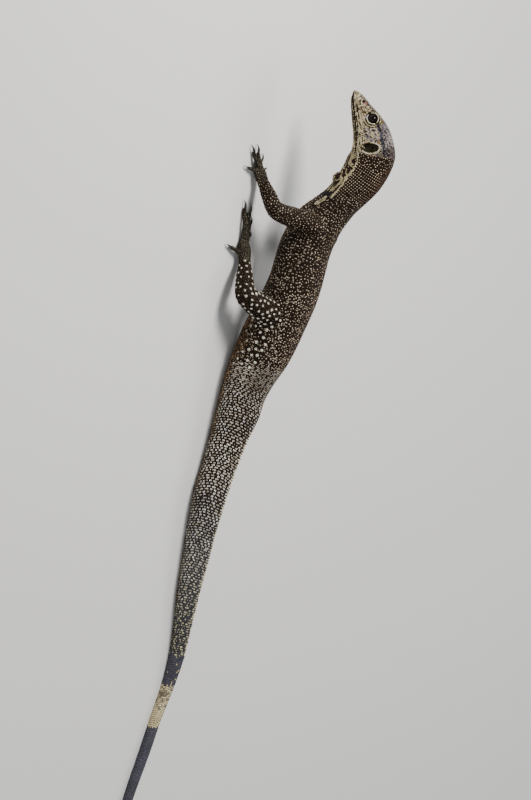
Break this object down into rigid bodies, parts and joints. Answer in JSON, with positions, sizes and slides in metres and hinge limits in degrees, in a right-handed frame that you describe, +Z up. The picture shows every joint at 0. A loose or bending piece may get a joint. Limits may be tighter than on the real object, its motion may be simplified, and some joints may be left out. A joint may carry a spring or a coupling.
{
  "type": "monitor lizard",
  "caption": "Life-size still model of a speckled monitor lizard on a level floor, neck raised, head bent down, long tail laid in a gentle wave.",
  "frame": {"origin": "middle of the bounding box's footprint, on the floor that the feet and tail rest on", "axes": "+X from the tail towards the head, +Y to the lizard's left, +Z up"},
  "size_m": [1.007, 0.2278, 0.132],
  "materials": {
    "skin": "dry scaly skin, satin",
    "eye": "wet gloss",
    "claw": "dark horn, satin"
  },
  "bodies": {
    "root": {"claw_foreleg_left_1": "claw", "claw_foreleg_left_2": "claw", "claw_foreleg_left_3": "claw", "claw_foreleg_left_4": "claw", "claw_foreleg_left_5": "claw", "claw_foreleg_right_1": "claw", "claw_foreleg_right_2": "claw", "claw_foreleg_right_3": "claw", "claw_foreleg_right_4": "claw", "claw_foreleg_right_5": "claw", "claw_hindleg_left_1": "claw", "claw_hindleg_left_2": "claw", "claw_hindleg_left_3": "claw", "claw_hindleg_left_4": "claw", "claw_hindleg_left_5": "claw", "claw_hindleg_right_1": "claw", "claw_hindleg_right_2": "claw", "claw_hindleg_right_3": "claw", "claw_hindleg_right_4": "claw", "claw_hindleg_right_5": "claw", "eye_left": "eye", "eye_right": "eye", "foot_left": "skin", "foot_right": "skin", "forearm_left": "skin", "forearm_right": "skin", "hand_left": "skin", "hand_right": "skin", "head": "skin", "neck": "skin", "shin_left": "skin", "shin_right": "skin", "tail_base": "skin", "tail_end": "skin", "tail_middle": "skin", "tail_rear": "skin", "thigh_left": "skin", "thigh_right": "skin", "torso": "skin", "upper_arm_left": "skin", "upper_arm_right": "skin"}
  },
  "joints": []
}
